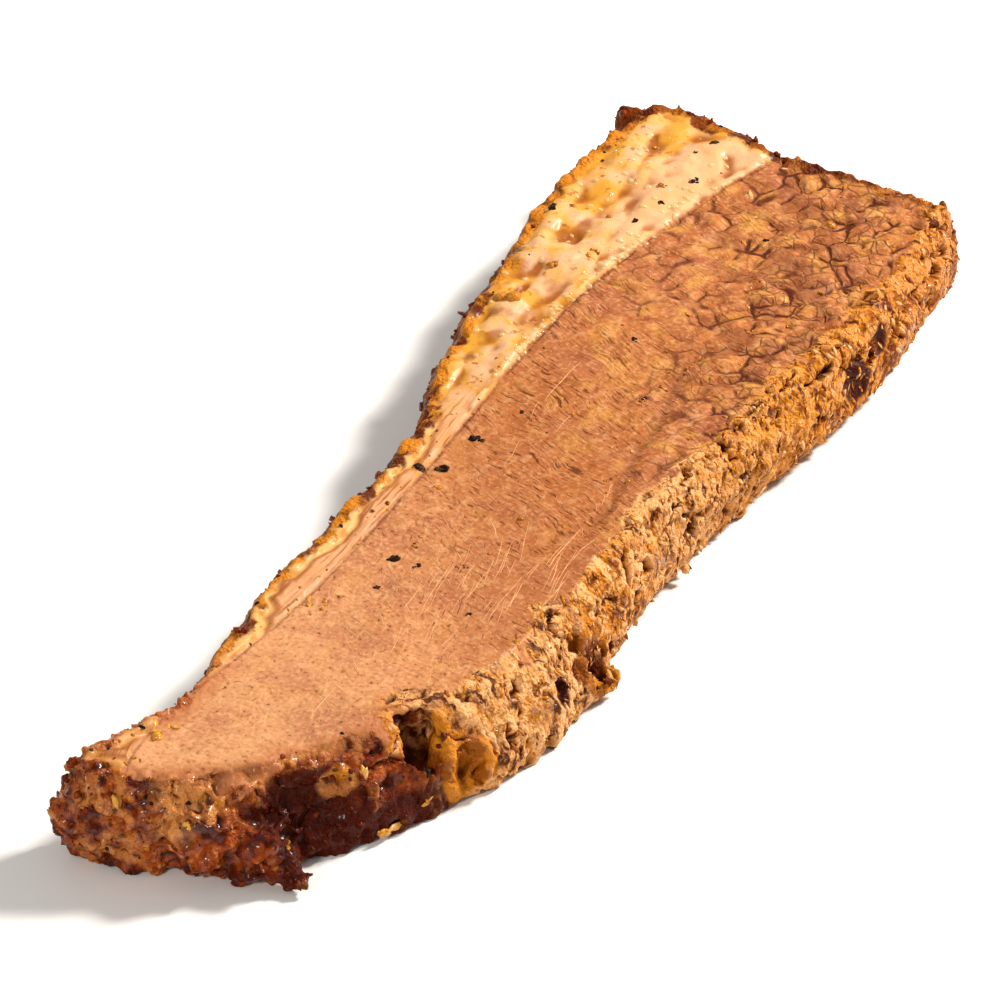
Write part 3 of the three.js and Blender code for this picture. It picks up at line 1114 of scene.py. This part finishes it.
def crust_crumbs(body, counts, rng):
    """Dark crumbs at the narrow end, along the rim of the fat and round the broad end."""
    skin = Skin(body.data)
    x, _, z = skin.places.T
    wall = ramp(1 - np.abs(skin.upward), 0.3, 0.7)
    rim = (skin.upward > 0.4) * ramp(skin.read("rim") + 3 * skin.read("ragged"), 1.4, 0.2)
    dark = 0.7 * ramp(x, -66, -84) + ramp(skin.read("seam"), 0, 3) + 0.8 * ramp(x, 98, 104)
    weight = dark * np.maximum(wall, rim * ramp(x, -90, -60)) * (z > 0.8)
    lumps = []
    for place, normal in skin.sow(counts.crumbs, rng, weight):
        radii = np.array((1.0, 0.8, 0.55)) * (0.2 + 0.9 * rng.random() ** 4)
        lumps.append((place + normal * 0.1, tilted(normal, 0.4, rng), radii, rng.uniform(*ANY_SPIN)))
    return joined_lumps("crust_crumbs", lumps, 0.2, rng, rounds=1)


def cluster(body, spot, size, count, rng, sink=0.2):
    """A few small lumps that touch, on the slice at a spot."""
    place, normal = on_surface(body, spot)
    for _ in range(count):
        radii = np.array((1.0, 0.8, 0.65)) * size * rng.uniform(0.55, 0.9)
        offset = rng.normal(0, 0.4, 3) * size
        offset -= normal * (offset @ normal + sink * size)
        yield place + offset, tilted(normal, 0.5, rng), radii, rng.uniform(*ANY_SPIN)


def scattered(body, count, weight, least, most, rng):
    """Small lumps spread over the slice, as dense as the weight of each triangle."""
    for place, normal in Skin(body.data).sow(count, rng, weight):
        size = least + (most - least) * rng.random() ** 3
        yield place, tilted(normal, 0.4, rng), np.array((1.0, 0.75, 0.6)) * size, rng.uniform(*ANY_SPIN)


def pepper_bits(body, counts, rng):
    """Cracked peppercorns: a few on the cut face and in the cavity, and many small ones round the rims."""
    lumps = []
    for x, y, size in PEPPER:
        lumps.extend(cluster(body, over(x, y), size, 4, rng))
    lumps.extend(cluster(body, PEPPER_IN_CAVITY, 1.4, 4, rng))
    skin = Skin(body.data)
    x, _, z = skin.places.T
    rim = ramp(skin.read("rim"), 4, 1) * (skin.upward > -0.2)
    places = ramp(skin.read("seam"), 0, 2) + ramp(x, -75, -90) + ramp(x, 97, 103)
    weight = rim * places + 0.02 * ramp(x, 20, 60)
    lumps.extend(scattered(body, counts.pepper, weight * (z > 2), 0.2, 0.6, rng))
    return joined_lumps("pepper_bits", lumps, 0.2, rng, rounds=1)


def brown_bits(body, counts, rng):
    """Browned bits of fat and meat on the cut face, along the seam and by the crease."""
    lumps = []
    for x, y, size in BROWNED:
        lumps.extend(cluster(body, over(x, y), size, 3, rng))
    for x, y in AMBER:
        for _ in range(5):
            near = over(x + rng.normal(0, 1.2), y + rng.normal(0, 0.7))
            lumps.extend(cluster(body, near, rng.uniform(0.35, 0.7), 2, rng))
    skin = Skin(body.data)
    x, _, _ = skin.places.T
    seam = skin.read("seam")
    strip = ramp(np.abs(seam - 1), 2.5, 0.5) * ramp(x, 40, 10) * (skin.upward > 0.5)
    specks = 0.05 * (skin.upward > 0.8) * ramp(x, -60, -20)
    lumps.extend(scattered(body, counts.bits, strip + specks, 0.2, 0.65, rng))
    return joined_lumps("brown_bits", lumps, 0.15, rng, rounds=1)


def trail(body, start, heading, length, radius, bend, rng, lift=0.3):
    """A strand that runs over the slice from a spot, its heading and bend in radians, thin at both ends."""
    steps = 7
    spot = np.array(start, float)
    strand = []
    for step in range(steps):
        place, normal = on_surface(body, spot)
        share = step / (steps - 1)
        thick = radius * (0.3 + 0.7 * math.sin(math.pi * share))
        strand.append((place + normal * thick * lift, normal, thick))
        heading += rng.normal(0, 0.03) + bend / steps
        spot = place + length / (steps - 1) * np.array((math.cos(heading), math.sin(heading), 0.0))
        spot[2] = start[2]
    return strand


def pale_fibres(body, counts, rng):
    """Pale fibres that the knife pulled up on the front of the lean, in two crossing directions."""
    strands = []
    while len(strands) < counts.fibres:
        x, y = rng.normal(-42, 26), rng.uniform(-26, 16)
        low = np.interp(x, (FIBRES_FROM, -60, FIBRES_TO), (4, -17, -23))
        high = np.interp(x, (FIBRES_FROM, FIBRES_TO), (10, 9))
        if FIBRES_FROM < x < FIBRES_TO and low < y < high:
            lengthwise = math.sin(x / 9) + math.sin(y / 5 + x / 14) > 0.4
            heading = math.radians(4 if lengthwise else -132) + rng.normal(0, 0.06)
            length = rng.uniform(4, 13) if lengthwise else rng.uniform(3, 6)
            radius, bend = rng.uniform(0.09, 0.15), rng.normal(0, 0.05)
            strands.append(trail(body, over(x, y), heading, length, radius, bend, rng, -0.3))
    return joined_strands("pale_fibres", strands, rng)


def yellow_shreds(body, counts, rng):
    """Loose yellow shreds: by the fat, at the corner of the narrow end and round its cavities."""
    lumps = []
    middle = (counts.threads - 1) / 2
    for spot, size, spin in SHREDS:
        place, normal = on_surface(body, spot)
        for thread in range(counts.threads):
            heading = np.array((math.cos(spin), math.sin(spin), 0.0)) * size * 0.5 * (thread - middle)
            radii = np.array((0.75, 0.34, 0.15)) * size * rng.uniform(0.5, 1.1)
            lumps.append((place + heading, tilted(normal, 0.22, rng), radii, spin + rng.normal(0, 0.6)))
    return joined_lumps("yellow_shreds", lumps, 0.18, rng)


def juice_beads(body, counts, rng):
    """Beads of juice and melted fat along the seam and over the fat."""
    skin = Skin(body.data)
    x, _, z = skin.places.T
    seam = skin.read("seam")
    by_seam = ramp(np.abs(seam - 1), 2, 0.3) * ramp(x, 10, 30) * ramp(x, 90, 70)
    on_fat = 0.12 * ramp(seam, 0, 1) * ramp(x, 20, 40)
    weight = (by_seam + on_fat) * (skin.upward > 0.6) * (skin.read("rim") > 2) * (z > 2)
    lumps = []
    for place, normal in skin.sow(counts.beads, rng, weight):
        radii = np.array((1.0, 0.8, 0.45)) * (0.2 + 0.55 * rng.random() ** 2)
        lumps.append((place, normal, radii, rng.uniform(*ANY_SPIN)))
    return joined_lumps("juice_beads", lumps, 0.0, rng)


# ---------------------------------------------------------------- settings


def colour_setting(name, text, about):
    """A colour that a user can change, from six hex digits."""
    return FloatVectorProperty(
        name=name, description=about, default=srgb(text), subtype="COLOR", size=3, min=0, max=1,
    )


class BrisketColours(bpy.types.PropertyGroup):
    lean_back: colour_setting("Lean, broad end", "b46b3b", "The lean at the broad end")
    lean_front: colour_setting("Lean, front", "cc8e60", "The lean at the narrow end")
    lean_pink: colour_setting("Pink lean", "a86445", "The pinker patches of lean")
    lean_gold: colour_setting("Golden lean", "c98a40", "Lean stained by fat and juices")
    lean_brown: colour_setting("Brown lean", "85431c", "The browner patches of lean")
    # Mauve lean is partly the darker bundles, partly painted shade by the bark.
    lean_mauve: colour_setting("Mauve lean", "7a4426", "The darkest bundles, by the bark at the broad end")
    lean_light: colour_setting("Light lean", "e4ab76", "The lightest grains of the lean")
    # The crack colour also paints shade along the crease and along the seam's groove.
    crack: colour_setting("Cracks", "4a1c0c", "The gaps between the bundles of meat")
    fat_cream: colour_setting("Fat", "dba35e", "The fat cap")
    fat_peach: colour_setting("Peach fat", "d9a578", "The pinker patches of fat")
    fat_gold: colour_setting("Golden fat", "d1902c", "Fat stained by the roasting")
    # Brown in the fat also paints shade into the fat's hollows.
    fat_brown: colour_setting("Brown in the fat", "8e4813", "The dents and specks of the fat")
    # The membrane colour is the pale sheet and also a painted highlight along the seam.
    membrane_and_highlight: colour_setting("Membrane", "e9bd8e", "The bright sheet between lean and fat")
    # Golden and pale bark also paint light onto the bark's exposed tips.
    bark_gold: colour_setting("Golden bark", "ca7c1a", "The bark side's golden parts")
    bark_tan: colour_setting("Pale bark", "e6ab70", "The bark side's pale flakes")
    # Brown bark also paints shade into the bark's shallow hollows.
    bark_brown: colour_setting("Brown bark", "7a3402", "The bark side's brown parts")
    # The slit colour is the crust's own dark slits and also painted shade in its hollows and inside its
    # cavities.
    slit_and_shade: colour_setting("Slits", "421404", "The slits and pits of the crust")
    # The darkest crust also paints the shade in the recess under the chunk.
    end_dark: colour_setting("Dark end", "481202", "The darkest crust, at the narrow end")
    end_red: colour_setting("Red-brown end", "742404", "The redder crust, at the narrow end")
    end_orange: colour_setting("Orange end", "9a4410", "The glazed knobs of the narrow end")
    # The lightest crust also paints light on the tops of the chunk and the corner.
    end_gold: colour_setting("Golden end", "d08644", "The lightest crust, at the narrow end")
    rind_orange: colour_setting("Orange rind", "c8781c", "The roasted outside of the fat")
    rind_dark: colour_setting("Dark rind", "5e2608", "The darkest parts of the roasted fat")
    pepper: colour_setting("Pepper", "20110a", "The cracked peppercorns")
    pepper_light: colour_setting("Light pepper", "5b3c22", "The insides of the peppercorns")
    bit_dark: colour_setting("Dark bits", "5a1f0a", "The darkest browned bits")
    bit_amber: colour_setting("Amber bits", "b0701c", "The amber browned bits")
    shred: colour_setting("Shreds", "dc9a2e", "The yellow shreds")
    juice: colour_setting("Juices", "ffdf9c", "The beads of juice")


def count_setting(name, default, about, least=1):
    """A whole number that a user can change."""
    return IntProperty(name=name, description=about, default=default, min=least)


def length_setting(name, default, about, **limits):
    """A length in metres that a user can change."""
    return FloatProperty(name=name, description=about, default=default, unit="LENGTH", **limits)


def angle_setting(name, degrees, about):
    """An angle that a user can change."""
    turn = math.radians(degrees)
    return FloatProperty(name=name, description=about, default=turn, subtype="ANGLE", unit="ROTATION")


class SliceSettings(bpy.types.PropertyGroup):
    seed: count_setting("Seed", 7, "Chooses the lumps of the crust", 0)
    lumps: count_setting("Lumps", 1600, "How many lumps the crust has", 0)
    grain: length_setting("Grain", 0.42 * MM, "The size of the finest relief", min=0.2 * MM, precision=5)
    budget: count_setting("Triangles", 190_000, "The most triangles of the slice", 10_000)


class CrumbSettings(bpy.types.PropertyGroup):
    flakes: count_setting("Flakes", 1500, "How many golden flakes lie on the bark")
    crumbs: count_setting("Crumbs", 900, "How many dark crumbs lie on the crust")
    pepper: count_setting("Pepper", 170, "How many small bits of pepper there are")
    bits: count_setting("Bits", 110, "How many small browned bits there are")
    threads: count_setting("Threads", 4, "How many threads each yellow shred has")
    fibres: count_setting("Fibres", 150, "How many pale fibres there are")
    beads: count_setting("Beads", 240, "How many beads of juice there are")


class StudioSettings(bpy.types.PropertyGroup):
    azimuth: angle_setting("Azimuth", -66.6, "Where the camera stands round the slice")
    elevation: angle_setting("Elevation", 33, "How steeply the camera looks down")
    distance: length_setting("Distance", 4.0, "From the camera to the slice")
    lens: FloatProperty(name="Lens", description="The camera's focal length in millimetres", default=911)
    key: FloatProperty(name="Key light", description="The strength of the key light", default=20.5)
    fill: FloatProperty(name="Fill light", description="The strength of the fill light", default=4.5)
    key_size: length_setting("Key size", 0.2, "The width of the key light")
    surround: FloatProperty(name="Surround", description="The light from all around", default=0.38)


class BrisketSettings(bpy.types.PropertyGroup):
    colours: PointerProperty(type=BrisketColours)
    shape: PointerProperty(type=SliceSettings)
    crumbs: PointerProperty(type=CrumbSettings)
    studio: PointerProperty(type=StudioSettings)


# ---------------------------------------------------------------- operators


def ready(context, turn):
    """The settings, the finished slice and a source of chance, seeded by a turn of the piece's own."""
    settings = context.scene.brisket
    return settings, bpy.data.objects["braised_slice"], np.random.default_rng(settings.shape.seed + turn)


class BRISKET_OT_slice(bpy.types.Operator):
    """Builds the slice over its frame"""

    bl_idname = "brisket.slice"
    bl_label = "Slice"

    def execute(self, context):
        settings = context.scene.brisket
        piece = slice_shape(settings.shape)
        piece.data.materials.clear()
        piece.data.materials.append(meat_finish(settings.colours))
        only(piece)
        bpy.ops.object.shade_smooth()
        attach(piece, "root")
        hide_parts("brisket_slice")
        return {"FINISHED"}


class BRISKET_OT_flakes(bpy.types.Operator):
    """Adds the golden flakes of the bark side"""

    bl_idname = "brisket.flakes"
    bl_label = "Golden flakes"

    def execute(self, context):
        tones = ("bark_brown", "bark_gold", "bark_tan")
        return add_bits(context, 11, golden_flakes, "golden_crust", tones, (0.38, 0.35, 0.5))


class BRISKET_OT_crumbs(bpy.types.Operator):
    """Adds the dark crumbs of the crust"""

    bl_idname = "brisket.crumbs"
    bl_label = "Dark crumbs"

    def execute(self, context):
        tones = ("end_dark", "end_red", "bark_brown")
        return add_bits(context, 12, crust_crumbs, "dark_crust", tones, (0.35, 0.25, 0.5))


class BRISKET_OT_pepper(bpy.types.Operator):
    """Adds the cracked pepper"""

    bl_idname = "brisket.pepper"
    bl_label = "Pepper"

    def execute(self, context):
        tones = ("pepper", "pepper", "pepper_light")
        return add_bits(context, 13, pepper_bits, "cracked_pepper", tones, (0.5, 0.1, 0.4), smooth=False)


class BRISKET_OT_bits(bpy.types.Operator):
    """Adds the browned bits"""

    bl_idname = "brisket.bits"
    bl_label = "Browned bits"

    def execute(self, context):
        tones = ("bit_dark", "bit_amber", "bark_gold")
        return add_bits(context, 14, brown_bits, "brown_bits", tones, (0.3, 0.5, 0.5))


class BRISKET_OT_shreds(bpy.types.Operator):
    """Adds the yellow shreds"""

    bl_idname = "brisket.shreds"
    bl_label = "Yellow shreds"

    def execute(self, context):
        tones = ("bit_amber", "shred", "fat_cream")
        return add_bits(context, 15, yellow_shreds, "yellow_shreds", tones, (0.35, 0.4, 0.8))


class BRISKET_OT_fibres(bpy.types.Operator):
    """Adds the pale fibres of the cut face"""

    bl_idname = "brisket.fibres"
    bl_label = "Pale fibres"

    def execute(self, context):
        tones = ("lean_front", "lean_front", "lean_light")
        return add_bits(context, 16, pale_fibres, "pale_fibres", tones, (0.6, 0.02, 0.8))


class BRISKET_OT_juices(bpy.types.Operator):
    """Adds the beads of juice"""

    bl_idname = "brisket.juices"
    bl_label = "Juices"

    def execute(self, context):
        settings, body, rng = ready(context, 17)
        juice = settings.colours.juice
        made, _, _ = material_graph("clear_juices", 0.05, Base_Color=juice, Alpha=0.4, Coat_Weight=1.0)
        finish_piece(juice_beads(body, settings.crumbs, rng), made)
        return {"FINISHED"}


class BRISKET_OT_studio(bpy.types.Operator):
    """Sets the floor, the lights and the camera"""

    bl_idname = "brisket.studio"
    bl_label = "Studio"

    def execute(self, context):
        studio = context.scene.brisket.studio
        self.floor()
        self.lights(context, studio)
        self.camera(context, studio)
        return {"FINISHED"}

    def floor(self):
        bpy.ops.mesh.primitive_plane_add(size=FLOOR_WIDTH, location=(0, 0, LOW.z))
        floor = bpy.context.object
        floor.name = "floor"
        made, _, _ = material_graph("floor", 0.6, Base_Color=(0.9, 0.88, 0.85))
        floor.data.materials.append(made)
        floor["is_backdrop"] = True

    def lights(self, context, studio):
        world = bpy.data.worlds.new("surround")
        world.use_nodes = True
        background = world.node_tree.nodes["Background"]
        background.inputs["Color"].default_value = (1, 0.985, 0.97, 1)
        background.inputs["Strength"].default_value = studio.surround
        context.scene.world = world
        self.lamp(context, "key", (0.6, -0.45, 0.65), studio.key, studio.key_size)
        self.lamp(context, "fill", (-0.75, 0.1, 0.42), studio.fill, studio.key_size * 0.5)

    def lamp(self, context, name, towards, energy, size):
        towards = Vector(towards).normalized()
        light = bpy.data.lights.new(name, "AREA")
        light.energy = energy
        light.size = size
        light.color = (1, 0.97, 0.92)
        lamp = bpy.data.objects.new(name, light)
        lamp.location = towards * LAMP_DISTANCE
        lamp.rotation_euler = towards.to_track_quat("Z", "Y").to_euler()
        context.collection.objects.link(lamp)

    def camera(self, context, studio):
        flat = math.cos(studio.elevation)
        sideways = Vector((math.sin(studio.azimuth), -math.cos(studio.azimuth), 0)) * flat
        back = sideways + Vector((0, 0, math.sin(studio.elevation)))
        aim = LOW + Vector(share * span for share, span in zip(AIM, SPAN))
        camera = bpy.data.objects.new("camera", bpy.data.cameras.new("camera"))
        camera.data.lens = studio.lens
        camera.location = aim + back * studio.distance
        camera.rotation_euler = back.to_track_quat("Z", "Y").to_euler()
        context.collection.objects.link(camera)
        context.scene.camera = camera
        context.scene.view_settings.view_transform = "Standard"


class BRISKET_PT_builder(bpy.types.Panel):
    """Lists the settings and the pieces"""

    bl_label = "Braised brisket"
    bl_space_type = "VIEW_3D"
    bl_region_type = "UI"
    bl_category = "Brisket"

    def draw(self, context):
        settings = context.scene.brisket
        for group in (settings.shape, settings.crumbs, settings.studio, settings.colours):
            box = self.layout.box()
            for name in group.__annotations__:
                box.prop(group, name)
        for operator in OPERATORS:
            self.layout.operator(operator.bl_idname)


OPERATORS = (
    BRISKET_OT_slice, BRISKET_OT_flakes, BRISKET_OT_crumbs, BRISKET_OT_pepper, BRISKET_OT_bits,
    BRISKET_OT_shreds, BRISKET_OT_fibres, BRISKET_OT_juices, BRISKET_OT_studio,
)
GROUPS = (BrisketColours, SliceSettings, CrumbSettings, StudioSettings, BrisketSettings)
CLASSES = (*GROUPS, *OPERATORS, BRISKET_PT_builder)


def register():
    for cls in CLASSES:
        bpy.utils.register_class(cls)
    bpy.types.Scene.brisket = PointerProperty(type=BrisketSettings)


def unregister():
    del bpy.types.Scene.brisket
    for cls in reversed(CLASSES):
        bpy.utils.unregister_class(cls)


def main():
    register()
    bpy.ops.brisket.slice()
    bpy.ops.brisket.flakes()
    bpy.ops.brisket.crumbs()
    bpy.ops.brisket.pepper()
    bpy.ops.brisket.bits()
    bpy.ops.brisket.shreds()
    bpy.ops.brisket.fibres()
    bpy.ops.brisket.juices()
    bpy.ops.brisket.studio()
    boxes = {"cad": CAD_BOX, "visual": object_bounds()}
    {name: [list(corner) for corner in box] for name, box in boxes.items()}


if __name__ == "__main__":
    main()
